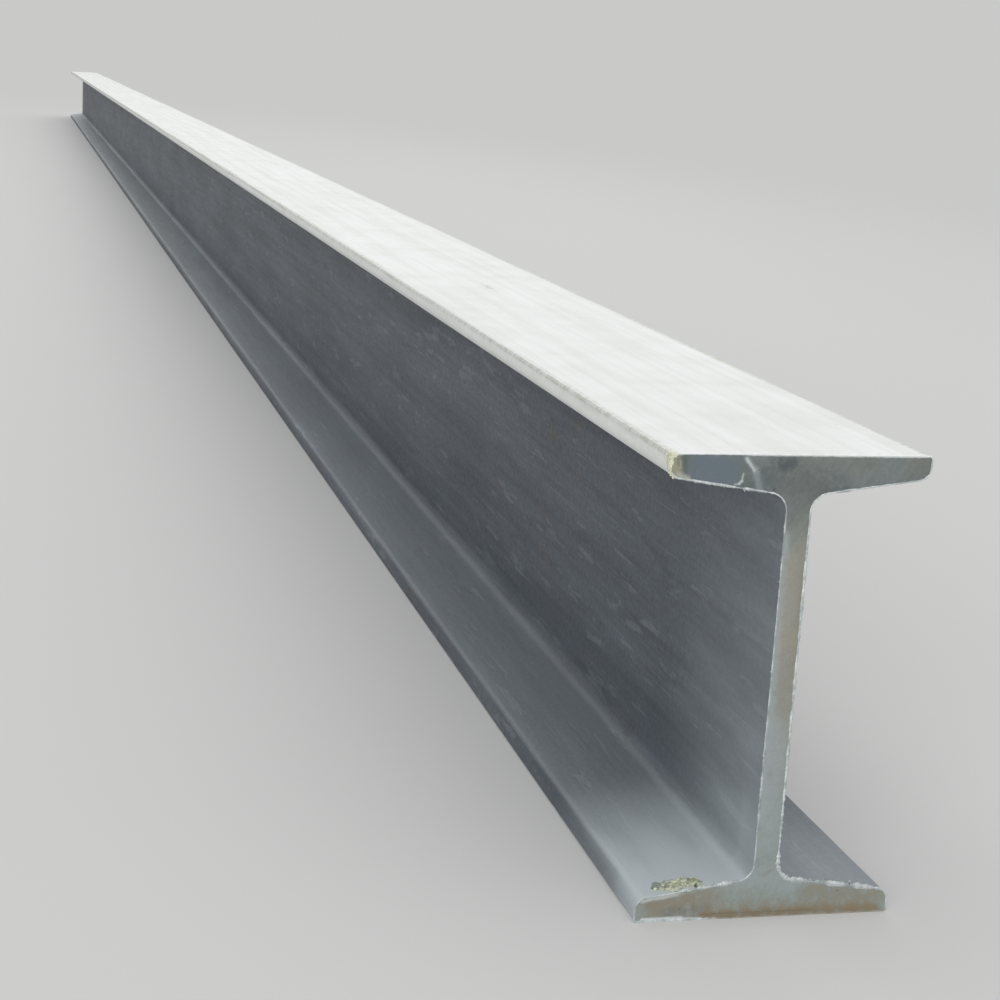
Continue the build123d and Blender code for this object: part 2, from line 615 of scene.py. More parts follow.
# Slivers: how they gather on the heavy burrs, the spread of their lengths, their widths,
# thicknesses and rise from the sawn face as shares of the length, how ragged they are,
# and how far out they lie as a share of the burr's reach.
SLIVER_GATHERING = 1.6
SLIVER_LEAST_CHANCE = 0.02
SLIVER_SPREAD = 0.38
SLIVER_WIDTHS = (0.45, 0.8)
SLIVER_THICKNESSES = (0.25, 0.5)
SLIVER_RISES = (-1.2, 0.1)
SLIVER_RAGGEDNESS = (0.65, 1.25)
SLIVER_REACHES = (0, 0.6)


class SawnEdge:
    """The edge of one sawn face, with points a burr's step apart."""

    def __init__(self, section, ends, side):
        outline = section.outline()
        along = distances_along(outline)
        self.length = along[-1]
        count = int(self.length / ends.burr_step)
        self.place = np.linspace(0, self.length, count, endpoint=False)
        self.x, self.z = self.spread(along, outline)
        self.out_x, self.out_z = self.spread(along, section.normals())
        self.side = side
        self.heft = self.smoothed(self.burr_shares())

    def spread(self, along, values):
        """Values at the outline's points, read at the edge's own points."""
        closed = np.vstack([values, values[:1]])
        return [np.interp(self.place, along, column) for column in closed.T]

    def burr_shares(self):
        """The share of a full burr at each point. The far end mirrors the near one."""
        x = -self.side * self.x / MM
        z = self.z / MM
        shares = np.full(len(x), LIGHT_BURR)
        for _, (left, right), (low, high), share in HEAVY_BURRS:
            held = (x > left) & (x < right) & (z > low) & (z < high)
            shares[held] = share
        return shares

    def smoothed(self, values):
        kernel = np.hanning(BURR_SMOOTHING + 2)[1:-1]
        wrapped = np.concatenate([values[-BURR_SMOOTHING:], values, values[:BURR_SMOOTHING]])
        smooth = np.convolve(wrapped, kernel / kernel.sum(), "same")
        return smooth[BURR_SMOOTHING:-BURR_SMOOTHING]

    def at(self, outward, proud, ends):
        """Points this far out from the skin and proud of the sawn face."""
        y = self.side * (HALF_LENGTH - ends.face_setback + proud)
        return np.column_stack([self.x + self.out_x * outward,
                                np.broadcast_to(y, self.x.shape),
                                self.z + self.out_z * outward])


def burr_strip(edge, ends, seed):
    """A closed strip of torn steel round one sawn face, as points and faces."""
    rng = np.random.default_rng(seed)
    count = len(edge.place)
    turn = 2 * pi * edge.place / edge.length
    ring = edge.length / 2 / pi
    tear = RIM_MIDDLE
    for step, (length, share) in enumerate(TEARS, start=1):
        ripple = Ripple(seed + step, length, length)
        tear = tear + share * ripple(ring * np.cos(turn), ring * np.sin(turn))
    reach = ends.burr_reach * edge.heft * np.clip(tear, LEAST_RIM, 1)
    rise = BURR_RISE * ends.face_setback * np.clip(LIGHT_RISE + edge.heft, 0, 1)
    rise = rise * np.clip(tear, 0, 1)
    stray = reach * rng.uniform(-RIM_JAG, RIM_JAG, count)
    arris = ends.arris
    # The cross-section: how far out from the skin and how proud of the sawn face each
    # point lies, from the face over the rim to the skin.
    profile = (
        (-arris - 0.1 * MM - 0.75 * reach, -0.06 * MM),
        (-0.55 * arris - 0.4 * reach, 0.5 * rise - 0.02 * MM),
        (0.15 * reach - 0.04 * MM, rise - 0.02 * MM),
        (reach + stray, 0.3 * rise - 0.2 * reach),
        (0.6 * reach - 0.03 * MM, -0.5 * reach - 0.1 * MM),
        (-0.1 * MM, -0.9 * reach - 0.35 * MM),
    )
    points = np.stack([edge.at(*place, ends) for place in profile], axis=1).reshape(-1, 3)
    quads = grid_quads(count, len(profile), closed=True)[:, [0, 3, 2, 1]]
    return points, (quads[:, ::-1] if edge.side > 0 else quads).tolist()


def lump():
    """Points and faces of a small ball of width 1."""
    ball = bmesh.new()
    bmesh.ops.create_icosphere(ball, subdivisions=1, radius=0.5)
    points = np.array([vertex.co[:] for vertex in ball.verts])
    faces = [[vertex.index for vertex in face.verts] for face in ball.faces]
    ball.free()
    return points, faces


def random_turn(rng):
    """A random rotation as a matrix."""
    turn, upper = np.linalg.qr(rng.normal(size=(3, 3)))
    turn = turn * np.sign(np.diag(upper))
    return turn if np.linalg.det(turn) > 0 else -turn


def slivers(edge, ends, seed):
    """Torn slivers on a burr, most of them where the burr is heavy."""
    rng = np.random.default_rng(seed)
    chance = edge.heft ** SLIVER_GATHERING + SLIVER_LEAST_CHANCE
    spots = rng.choice(len(edge.place), ends.sliver_count, p=chance / chance.sum())
    shape, faces = lump()
    made = []
    for spot in spots:
        length = ends.sliver_size * np.exp(rng.normal(0, SLIVER_SPREAD))
        size = length * np.array(
            [1, rng.uniform(*SLIVER_WIDTHS), rng.uniform(*SLIVER_THICKNESSES)])
        ragged = shape * rng.uniform(*SLIVER_RAGGEDNESS, (len(shape), 1))
        turned = (ragged * size) @ random_turn(rng).T
        out = rng.uniform(*SLIVER_REACHES) * ends.burr_reach * edge.heft[spot]
        proud = rng.uniform(*SLIVER_RISES) * length
        centre = (edge.x[spot] + edge.out_x[spot] * out,
                  edge.side * (HALF_LENGTH - ends.face_setback + proud),
                  edge.z[spot] + edge.out_z[spot] * out)
        made.append((turned + centre, faces))
    return made


def joined_mesh(name, parts, sharp_angle):
    """One mesh of several lists of points and faces."""
    vertices = np.vstack([points for points, _ in parts])
    faces = []
    first = 0
    for points, part_faces in parts:
        faces += [[first + n for n in face] for face in part_faces]
        first += len(points)
    return mesh_from(name, vertices, faces, sharp_angle)


# The crusts

CRUST_SHARP_ANGLE = radians(60)
CRUST_SEED = 60
# Grains: the spread of their widths, their lengths and thicknesses as shares of the
# width, how ragged they are and how far they tilt.
GRAIN_SPREAD = 0.45
GRAIN_LENGTHS = (0.5, 1)
GRAIN_THICKNESSES = (0.22, 0.4)
GRAIN_RAGGEDNESS = (0.6, 1.25)
GRAIN_TILT = 0.16
PATCH_CENTRE = (-25.4 * MM, 4.8 * MM)
PATCH_HALF_SIZE = (7 * MM, 4.4 * MM)
PATCH_THIN_END = -31 * MM
PATCH_SINK = 0.05 * MM
# The outline of the lower flange's crust in millimetres: at each x, its nearest and
# farthest depth from the near end.
PATCH_OUTLINE = (
    (-33.0, 5.4, 7.2),
    (-30.5, 3.4, 8.6),
    (-27.0, 1.9, 9.2),
    (-24.0, 0.7, 9.2),
    (-21.0, 0.6, 8.6),
    (-18.4, 2.2, 7.2),
)
PATCH_CROWDING = 1.5
# Painted shade in hollows of it, in millimetres: start and end as x and depth, width and share.
PATCH_HOLLOWS = (
    ((-20.9, 1.9), (-20.5, 3.4), 1.1, 1.0),
    ((-20.6, 3.0), (-20.1, 3.9), 0.9, 0.9),
    ((-21.4, 7.2), (-19.8, 7.0), 1.8, 0.5),
    ((-19.9, 6.2), (-19.0, 6.0), 1.6, 0.4),
)
# Grains on the toe: their size as a share of the lower crust's, how far in from the side
# the outline's points are taken, how far they reach down, inwards and along the beam,
# the share of them on the sawn face, and where they lie there and on the skin.
TOE_GRAIN_SHARE = 0.6
TOE_SPAN = 3 * MM
TOE_DROP = 7 * MM
TOE_WIDTH = 1.5 * MM
TOE_DEPTH = 6 * MM
ON_FACE_SHARE = 0.6
ON_FACE_DEPTH = 0.45 * MM
ON_FACE_OVERHANG = 0.3 * MM
ON_SKIN_DEPTH = 0.3 * MM
ON_SKIN_LIFT = 0.25 * MM


def crust_grain(rng, shape, size, centre, normal):
    """Points of a flat ragged grain that lies on a face with this normal."""
    width = size * np.exp(rng.normal(0, GRAIN_SPREAD))
    flat = np.array([width, width * rng.uniform(*GRAIN_LENGTHS),
                     width * rng.uniform(*GRAIN_THICKNESSES)])
    ragged = shape * rng.uniform(*GRAIN_RAGGEDNESS, (len(shape), 1)) * flat
    tilted = Vector(normal) + Vector(rng.normal(0, GRAIN_TILT, 3))
    turn = Matrix.Rotation(rng.uniform(0, 2 * pi), 3, "Z")
    stand = tilted.to_track_quat("Z", "Y").to_matrix()
    return ragged @ np.array(stand @ turn).T + centre


def patch_grains(section, deposits, rng):
    """Crust on the lower flange's left inner face, thinning out to its rim."""
    shape, faces = lump()
    normal = (-sin(section.angle), 0, cos(section.angle))
    stops, nearest, farthest = np.array(PATCH_OUTLINE).T * MM
    deepest = (farthest - nearest).max()
    made = []
    while len(made) < deposits.patch_grains:
        x = rng.uniform(stops[0], stops[-1])
        near, far = (np.interp(x, stops, depths) for depths in (nearest, farthest))
        if rng.uniform() * deepest > far - near:
            continue
        depth = near + (far - near) * rng.beta(PATCH_CROWDING, PATCH_CROWDING)
        centre = (x, depth - HALF_LENGTH, section.slope(abs(x)) - PATCH_SINK)
        made.append((crust_grain(rng, shape, deposits.grain_size, centre, normal), faces))
    return made


def toe_grains(section, deposits, rng):
    """Crust on the upper flange's left toe, as a wedge with its point down."""
    shape, faces = lump()
    size = TOE_GRAIN_SHARE * deposits.grain_size
    outline = section.outline()
    normals = section.normals()
    drops = (HEIGHT - outline[:, 1]) / TOE_DROP
    spots = np.flatnonzero((drops < 1) & (outline[:, 0] < TOE_SPAN - HALF_WIDTH))
    made = []
    for spot in rng.choice(spots, deposits.toe_grains):
        x, z = outline[spot]
        left = (1 - drops[spot]) * rng.uniform(0, 1)
        normal = (normals[spot, 0], 0, normals[spot, 1])
        if rng.uniform() < ON_FACE_SHARE:
            inward = TOE_WIDTH * left - ON_FACE_OVERHANG
            x -= normals[spot, 0] * inward
            z -= normals[spot, 1] * inward
            depth = ON_FACE_DEPTH
            normal = (0, -1, 0)
        else:
            x += normals[spot, 0] * ON_SKIN_LIFT
            depth = ON_SKIN_DEPTH + TOE_DEPTH * left ** 2
        centre = (x, depth - HALF_LENGTH, z)
        made.append((crust_grain(rng, shape, size, centre, normal), faces))
    return made


# Node trees

# Textures by name: the node group of each, and the values of its inputs in their order.
TEXTURES = {
    "scale streaks": ("lengthwise_streaks", 2.6 * MM, 150 * MM, 0.5, 0.16),
    "scale bands": ("lengthwise_streaks", 21 * MM, 900 * MM, 0.5, 0.14),
    "scale clouds": ("lengthwise_streaks", 32 * MM, 170 * MM, 0.5, 0.2),
    "scratches": ("lengthwise_streaks", 0.45 * MM, 36 * MM, 0.14, 0.035),
    "flakes": ("lengthwise_streaks", 6 * MM, 42 * MM, 0.2, 0.03),
    "thick scale": ("lengthwise_streaks", 11 * MM, 75 * MM, 0.25, 0.04),
    "rust bloom": ("lengthwise_streaks", 5 * MM, 24 * MM, 0.25, 0.14),
    "film bands": ("lengthwise_streaks", 7 * MM, 320 * MM, 0.5, 0.16),
    "film lines": ("lengthwise_streaks", 1.3 * MM, 90 * MM, 0.5, 0.12),
    "scale grain": ("mottle", 1.5 * MM, 0.5, 0.2),
    "rust clusters": ("mottle", 85 * MM, 0.4, 0.12),
    "ragged stain": ("mottle", 2.6 * MM, 0.7, 0.2),
    "film clouds": ("mottle", 34 * MM, 0.4, 0.2),
    "film spots": ("mottle", 2.4 * MM, 0.5, 0.12),
    "sawn grain": ("mottle", 1.1 * MM, 0.5, 0.25),
    "pink clouds": ("mottle", 31 * MM, 0.4, 0.12),
    "cool clouds": ("mottle", 23 * MM, 0.4, 0.12),
    "tan clouds": ("mottle", 13 * MM, 0.25, 0.12),
    "dark clouds": ("mottle", 8 * MM, 0.25, 0.12),
    "burr clouds": ("mottle", 5 * MM, 0.5, 0.15),
    "burr grain": ("mottle", 0.8 * MM, 0.5, 0.15),
    "crust clouds": ("mottle", 3.5 * MM, 0.5, 0.1),
    "crust cream": ("mottle", 1.6 * MM, 0.42, 0.08),
    "crust damp": ("mottle", 1.9 * MM, 0.28, 0.06),
    "crust grain": ("mottle", 0.6 * MM, 0.5, 0.2),
    "floor clouds": ("mottle", 0.4, 0.5, 0.3),
    "rust specks": ("specks", 3 * MM, 0.08, 2.5),
    "film marks": ("specks", 6 * MM, 0.03, 9.0),
    "pits": ("specks", 2.6 * MM, 0.07, 1.0),
    "tan specks": ("specks", 7 * MM, 0.16, 1.0),
}


class Graph:
    """One node tree, with short ways to add nodes to it and to join them."""

    def __init__(self, tree):
        self.tree = tree

    def add(self, kind, inputs=(), **settings):
        node = self.tree.nodes.new(kind)
        for name, value in settings.items():
            setattr(node, name, value)
        for socket, value in dict(inputs).items():
            self.feed(node.inputs[socket], value)
        return node

    def feed(self, socket, value):
        if isinstance(value, bpy.types.NodeSocket):
            self.tree.links.new(value, socket)
        elif socket.type == "RGBA":
            socket.default_value = (*value, 1.0)
        else:
            socket.default_value = value

    def math(self, operation, *values):
        return self.add("ShaderNodeMath", enumerate(values), operation=operation).outputs[0]

    def times(self, one, other):
        return self.math("MULTIPLY", one, other)

    def scaled(self, value, factor, offset):
        """A value times a factor, plus an offset."""
        return self.math("MULTIPLY_ADD", value, factor, offset)

    def vector(self, operation, *values, output=0):
        node = self.add("ShaderNodeVectorMath", enumerate(values), operation=operation)
        return node.outputs[output]

    def place(self):
        return self.add("ShaderNodeTexCoord").outputs["Object"]

    def normal(self):
        return self.add("ShaderNodeTexCoord").outputs["Normal"]

    def axes(self, vector):
        return self.add("ShaderNodeSeparateXYZ", {0: vector}).outputs

    def blend(self, share, under, over):
        """A colour between two others."""
        node = self.add("ShaderNodeMix", data_type="RGBA")
        for socket, value in ((0, share), (6, under), (7, over)):
            self.feed(node.inputs[socket], value)
        return node.outputs[2]

    def tint(self, under, mask, strength, over):
        """A colour with another over it at this strength, where the mask is."""
        return self.blend(self.times(mask, strength), under, over)

    def fade(self, value, start, stop, low=0.0, high=1.0):
        """Low at the start and high at the stop, with a smooth rise between."""
        sockets = {"Value": value, "From Min": start, "From Max": stop, "To Min": low,
                   "To Max": high}
        node = self.add("ShaderNodeMapRange", sockets, interpolation_type="SMOOTHSTEP")
        return node.outputs["Result"]

    def noise(self, place, scale, detail=3.0, roughness=0.55):
        """A noise as one number and as three."""
        sockets = {"Vector": place, "Scale": scale, "Detail": detail,
                   "Roughness": roughness}
        return self.add("ShaderNodeTexNoise", sockets).outputs

    def use(self, name, *values):
        """Places the node group with this name and the values of its inputs."""
        node = self.add("ShaderNodeGroup", node_tree=group(name))
        for socket, value in zip(node.inputs, values):
            self.feed(socket, value)
        return node.outputs[0]

    def texture(self, name):
        """Places the node group that draws this texture."""
        return self.use(*TEXTURES[name])


def covered(graph, noise, inputs):
    """The share of the surface where a noise is high, with soft or crisp edges."""
    middle = graph.scaled(inputs["Cover"], -0.44, 0.72)
    start = graph.math("SUBTRACT", middle, inputs["Softness"])
    stop = graph.math("ADD", middle, inputs["Softness"])
    return graph.fade(noise, start, stop)


def draw_streaks(graph, inputs):
    """Streaks drawn out along the beam, by their width and length."""
    size = graph.add("ShaderNodeCombineXYZ", {
        "X": inputs["Width"], "Y": inputs["Length"], "Z": inputs["Width"]}).outputs[0]
    stretched = graph.vector("DIVIDE", graph.place(), size)
    return covered(graph, graph.noise(stretched, 1.0, 3.5, 0.62)[0], inputs)


def draw_mottle(graph, inputs):
    """Cloudy patches of one size, with the share of the surface that they cover."""
    scale = graph.math("DIVIDE", 1.0, inputs["Size"])
    return covered(graph, graph.noise(graph.place(), scale, 4.0, 0.6)[0], inputs)


def draw_specks(graph, inputs):
    """Separate specks of mixed sizes, drawn out along the beam by the stretch."""
    place = graph.place()
    spacing = inputs["Spacing"]
    warp = graph.noise(place, graph.math("DIVIDE", 2.0, spacing))[1]
    warp = graph.vector("SUBTRACT", warp, (0.5, 0.5, 0.5))
    size = graph.add("ShaderNodeCombineXYZ", {
        "X": spacing, "Y": graph.times(spacing, inputs["Stretch"]), "Z": spacing})
    place = graph.vector("ADD", graph.vector("DIVIDE", place, size.outputs[0]), warp)
    cells = graph.add("ShaderNodeTexVoronoi", {"Vector": place, "Scale": 1.0}).outputs
    lot = graph.add("ShaderNodeSeparateColor", {0: cells["Color"]}).outputs
    radius = graph.scaled(lot["Green"], 0.26, 0.08)
    inside = graph.fade(cells["Distance"], radius, graph.times(radius, 0.6))
    return graph.times(inside, graph.math("LESS_THAN", lot["Red"], inputs["Share"]))


def draw_stroke(graph, inputs):
    """A straight stroke between two points, full in its middle and nought at its edge."""
    run = graph.vector("SUBTRACT", inputs["End"], inputs["Start"])
    away = graph.vector("SUBTRACT", inputs["Place"], inputs["Start"])
    share = graph.math(
        "DIVIDE", graph.vector("DOT_PRODUCT", away, run, output=1),
        graph.vector("DOT_PRODUCT", run, run, output=1))
    share = graph.add("ShaderNodeClamp", {"Value": share}).outputs[0]
    nearest = graph.add("ShaderNodeVectorMath", {0: run, "Scale": share}, operation="SCALE")
    gap = graph.vector("DISTANCE", away, nearest.outputs[0], output=1)
    sunk = graph.math("DIVIDE", gap, graph.times(inputs["Width"], -0.5))
    return graph.math("MAXIMUM", graph.math("ADD", sunk, 1.0), 0.0)


def draw_upward(graph, inputs):
    """Faces of the beam that look up."""
    return graph.fade(graph.axes(graph.normal())["Z"], inputs["Least"], 0.97)


def draw_near_ends(graph, inputs):
    """Full at both ends of the beam and fading out over a distance."""
    along = graph.axes(graph.place())["Y"]
    depth = graph.math("SUBTRACT", HALF_LENGTH, graph.math("ABSOLUTE", along))
    return graph.fade(depth, inputs["Fade"], 0.0)


# How each node group is drawn, and the names of its vector inputs and number inputs.
GROUPS = {
    "lengthwise_streaks": (draw_streaks, "", "Width Length Cover Softness"),
    "mottle": (draw_mottle, "", "Size Cover Softness"),
    "specks": (draw_specks, "", "Spacing Share Stretch"),
    "stroke": (draw_stroke, "Place Start End", "Width"),
    "upward": (draw_upward, "", "Least"),
    "near_ends": (draw_near_ends, "", "Fade"),
}


def group(name):
    """The node group with this name, built the first time that it is asked for."""
    tree = bpy.data.node_groups.get(name)
    if tree is None:
        draw, vectors, numbers = GROUPS[name]
        tree = bpy.data.node_groups.new(name, "ShaderNodeTree")
        for kind, names in (("Vector", vectors), ("Float", numbers)):
            for socket in names.split():
                tree.interface.new_socket(
                    socket, in_out="INPUT", socket_type=f"NodeSocket{kind}")
        tree.interface.new_socket("Mask", in_out="OUTPUT", socket_type="NodeSocketFloat")
        graph = Graph(tree)
        mask = draw(graph, graph.add("NodeGroupInput").outputs)
        graph.add("NodeGroupOutput", {0: mask})
    return tree


def new_material(name):
    """A material with its Principled BSDF, and its graph."""
    material = bpy.data.materials.new(name)
    material.use_nodes = True
    graph = Graph(material.node_tree)
    return material, graph, material.node_tree.nodes["Principled BSDF"]


def finish_surface(graph, surface, colour, roughness, metallic, height, depth):
    """Feeds a Principled BSDF, with a bump of the depth that the height reaches."""
    bump = graph.add("ShaderNodeBump", {"Height": height, "Distance": depth})
    feeds = {"Base Color": colour, "Roughness": roughness, "Metallic": metallic,
             "Normal": bump.outputs[0]}
    for socket, value in feeds.items():
        graph.feed(surface.inputs[socket], value)


# Materials

TOP_DIRT_BAND = 5 * MM
SUNLIT_TOP_DEPTH = 0.9 * MM
# How far the dust by the ends fades out; kept short so that the scale further in is darker, which
# paints the shade deep in the channels.
END_DUST_AND_SHADE_FADE = 100 * MM
# Pale dust on the lower flange by the near end, which also paints the light that reaches it there,
# in millimetres: start and end as x and depth, width and share.
PALE_DUST_AND_LIGHT_SPOTS = (
    ((-38, 1), (-33, 14), 24, 0.95),
    ((-9, 0), (-5, 12), 11, 0.3),
)
PALE_DUST_AND_LIGHT_HEIGHTS = (45 * MM, 18 * MM)


def mill_scale_material(colours):
    """Blue-grey scale with streaks, bare patches, dust and rust, a near-white top that paints
    sunlight, and painted shade on the right of the web and deeper in from the ends.
    """
    material, graph, surface = new_material("mill_scale")
    place = graph.place()
    across, _, level = graph.axes(place)
    streaks, bands, clouds, scratches, flakes, thick, grain = (
        graph.texture(name) for name in (
            "scale streaks", "scale bands", "scale clouds", "scratches", "flakes",
            "thick scale", "scale grain"))
    # Painted shade on the right of the web: its scale is darker there and its dust thinner.
    lit_side = graph.fade(across, -HALF_WEB, HALF_WEB, 1.0, 0.3)
    tone = graph.scaled(clouds, 0.4, graph.times(graph.math("ADD", streaks, bands), 0.3))
    tone = graph.times(tone, graph.scaled(lit_side, 0.3, 0.7))
    colour = graph.blend(tone, colours.scale_dark, colours.scale_light)
    colour = graph.tint(colour, thick, 0.35, colours.scale_dark)
    colour = graph.tint(colour, flakes, 0.13, colours.dust)
    colour = graph.tint(colour, grain, 0.2, colours.scale_dark)
    # Dust by both ends, more of it lower down, fading out over a short distance: partly painted
    # shade, as the channels darken further in.
    end_dust_and_shade = graph.times(graph.use("near_ends", END_DUST_AND_SHADE_FADE), graph.scaled(clouds, 0.3, 0.26))
    end_dust_and_shade = graph.times(graph.times(end_dust_and_shade, lit_side), graph.fade(level, HEIGHT, 0.0, 0.55, 1.35))
    # Dust on faces that look up, thinner on the right of the web, which paints shade there.
    upward_dust_and_shade = graph.scaled(end_dust_and_shade, 1.35, graph.times(lit_side, 0.24))
    upward_dust_and_shade = graph.times(graph.use("upward", 0.6), upward_dust_and_shade)
    # Pale patches by the near end: dust, and painted light where it reaches the lower flange.
    spots = graph.times(near_end_strokes(graph, place, PALE_DUST_AND_LIGHT_SPOTS, 1.0),
                        graph.fade(level, *PALE_DUST_AND_LIGHT_HEIGHTS))
    scored = graph.times(scratches, graph.scaled(bands, 0.2, 0.06))
    for mask in (end_dust_and_shade, upward_dust_and_shade, spots, scored):
        colour = graph.blend(mask, colour, colours.dust)
    rust = rust_mask(graph)
    colour = graph.blend(rust, colour, colours.rust)
    colour = graph.blend(crust_stain_mask(graph), colour, colours.crust_green)
    # The upper flange's top and its edges painted near-white, as sunlight.
    sunlit_top = sunlit_top_mask(graph)
    colour = graph.blend(sunlit_top, colour, sunlit_top_colour(graph, colours))
    dust_or_sunlit_top = graph.math("MAXIMUM", sunlit_top, upward_dust_and_shade)
    metallic = graph.scaled(dust_or_sunlit_top, -0.35, 0.35)
    roughness = graph.scaled(grain, 0.12, graph.scaled(dust_or_sunlit_top, 0.25, 0.48))
    height = graph.times(grain, 0.4)
    for mask, share in ((flakes, -0.6), (thick, 0.5), (rust, 0.6), (scratches, -0.4)):
        height = graph.scaled(mask, share, height)
    finish_surface(graph, surface, colour, roughness, metallic, height, 0.09 * MM)
    return material


def near_end_strokes(graph, place, strokes, softness):
    """Strokes on the lower flange by the near end, each with a soft edge."""
    flat = graph.vector("MULTIPLY", place, (1.0, 1.0, 0.0))
    mask = 0.0
    for *ends, width, share in strokes:
        start, end = ((x * MM, depth * MM - HALF_LENGTH, 0.0) for x, depth in ends)
        stroke = graph.use("stroke", flat, start, end, width * MM)
        mask = graph.math("MAXIMUM", graph.fade(stroke, 0.0, softness, high=share), mask)
    return mask


def crust_stain_mask(graph):
    """A ragged stain under the crust on the lower flange's left side."""
    place = graph.place()
    x, depth = PATCH_CENTRE
    half_x, half_depth = PATCH_HALF_SIZE
    flat = graph.vector("MULTIPLY", place, (1.0, half_x / half_depth, 0.0))
    y = (depth - HALF_LENGTH) * half_x / half_depth
    start, end = ((x + side * 0.3 * half_x, y, 0.0) for side in (-1, 1))
    mask = graph.use("stroke", flat, start, end, 2 * half_x)
    low = graph.math("LESS_THAN", graph.axes(place)["Z"], HEIGHT / 2)
    share = graph.times(graph.times(mask, low), graph.texture("ragged stain"))
    return graph.fade(share, 0.0, 0.55, high=0.9)


def rust_mask(graph):
    """Rust specks in loose clusters, each cluster with a faint bloom."""
    both = graph.math("MAXIMUM", graph.times(graph.texture("rust specks"), 0.75),
                      graph.times(graph.texture("rust bloom"), 0.22))
    away = graph.math("SUBTRACT", 1.0, graph.use("near_ends", 2 * END_DUST_AND_SHADE_FADE))
    return graph.times(graph.texture("rust clusters"), graph.times(both, away))


def sunlit_top_mask(graph):
    """Where sunlight is painted: the upper flange's outer face and its edges, the right edge more
    thinly.
    """
    across, _, height = graph.axes(graph.place())
    high = graph.fade(height, HEIGHT - 2 * SUNLIT_TOP_DEPTH, HEIGHT - SUNLIT_TOP_DEPTH)
    top = graph.times(high, graph.use("upward", 0.7))
    thin = graph.fade(across, -HALF_WEB, HALF_WEB, low=1.0, high=0.5)
    edge = graph.times(graph.math("GREATER_THAN", height, HEIGHT / 2), thin)
    out = graph.math("GREATER_THAN", graph.math("ABSOLUTE", across), HALF_WIDTH / 2)
    side = graph.fade(graph.math("ABSOLUTE", graph.axes(graph.normal())["X"]), 0.4, 0.75)
    return graph.math("MAXIMUM", top, graph.times(edge, graph.times(out, side)))


def sunlit_top_colour(graph, colours):
    """Near-white painted sunlight, with grey-beige dirt bands along both corners and thin dark
    marks.
    """
    across, _, height = graph.axes(graph.place())
    wide = graph.texture("film bands")
    colour = graph.tint(colours.sunlit_white, wide, 0.16, colours.top_dirt)
    colour = graph.tint(colour, graph.texture("film clouds"), 0.12, colours.top_dirt)
    rest = graph.math("SUBTRACT", HALF_WIDTH, graph.math("ABSOLUTE", across))
    wander = graph.scaled(wide, TOP_DIRT_BAND / 2, rest)
    band = graph.fade(wander, TOP_DIRT_BAND, TOP_DIRT_BAND / 3)
    above = graph.fade(height, HEIGHT - 2.4 * MM, HEIGHT - 0.8 * MM, low=0.18)
    dirt = graph.scaled(graph.texture("film lines"), 0.35,
                        graph.times(graph.texture("film spots"), 0.5))
    dirt = graph.scaled(dirt, 0.85, 0.15)
    band = graph.times(graph.times(band, above), dirt)
    colour = graph.blend(band, colour, colours.top_dirt)
    return graph.tint(colour, graph.texture("film marks"), 0.25, colours.scale_light)


SAW_CENTRE = (0.42, 0.0, -0.16)
SAW_MARK_PITCH = 1.4 * MM
MARK_RAGGEDNESS = 4.2
BROAD_MARK = 6


def sawn_steel_material(colours):
    """Sawn ends: grey zones, faint saw marks, dark pits, and the near end's marks."""
    material, graph, surface = new_material("sawn_steel")
    place = graph.place()
    _, along, height = graph.axes(place)
    upper = graph.fade(height, HEIGHT - 32 * MM, HEIGHT - 12 * MM)
    lower = graph.fade(height, 80 * MM, 40 * MM)
    colour = graph.blend(upper, colours.sawn_grey, colours.sawn_dim)
    colour = graph.blend(lower, colour, colours.sawn_green)
    grain = graph.texture("sawn grain")
    saw = saw_marks(graph, place)
    for mask, strength, over in (
            (graph.texture("pink clouds"), 0.2, colours.sawn_pink),
            (graph.texture("cool clouds"), 0.2, colours.sawn_cool),
            (graph.texture("tan clouds"), 0.1, colours.sawn_tan),
            (graph.texture("dark clouds"), 0.14, colours.scale_dark),
            (saw, 0.05, colours.bright_steel),
            (grain, 0.14, colours.scale_dark)):
        colour = graph.tint(colour, mask, strength, over)
    at_near_end = graph.math("LESS_THAN", along, 0.0)
    colour = near_marks(graph, colours, place, at_near_end, colour)
    pits = graph.texture("pits")
    colour = graph.tint(colour, pits, 0.6, colours.scale_dark)
    colour = graph.tint(colour, graph.texture("tan specks"), 0.3, colours.sawn_tan)
    height = graph.scaled(grain, 0.35, graph.scaled(pits, -0.8, graph.times(saw, 0.35)))
    roughness = graph.scaled(grain, 0.15, 0.45)
    finish_surface(graph, surface, colour, roughness, 0.3, height, 0.06 * MM)
    return material


def saw_marks(graph, place):
    """Arcs that a round saw blade left on both ends."""
    flat = graph.vector("MULTIPLY", place, (1.0, 0.0, 1.0))
    radius = graph.vector("DISTANCE", flat, SAW_CENTRE, output=1)
    warp = graph.noise(place, 1 / (18 * MM))[0]
    turns = graph.scaled(warp, 2.5, graph.math("DIVIDE", radius, SAW_MARK_PITCH))
    line = graph.add("ShaderNodeCombineXYZ", {"X": turns}).outputs[0]
    return graph.fade(graph.noise(line, 1.0, detail=4.0)[0], 0.35, 0.7)


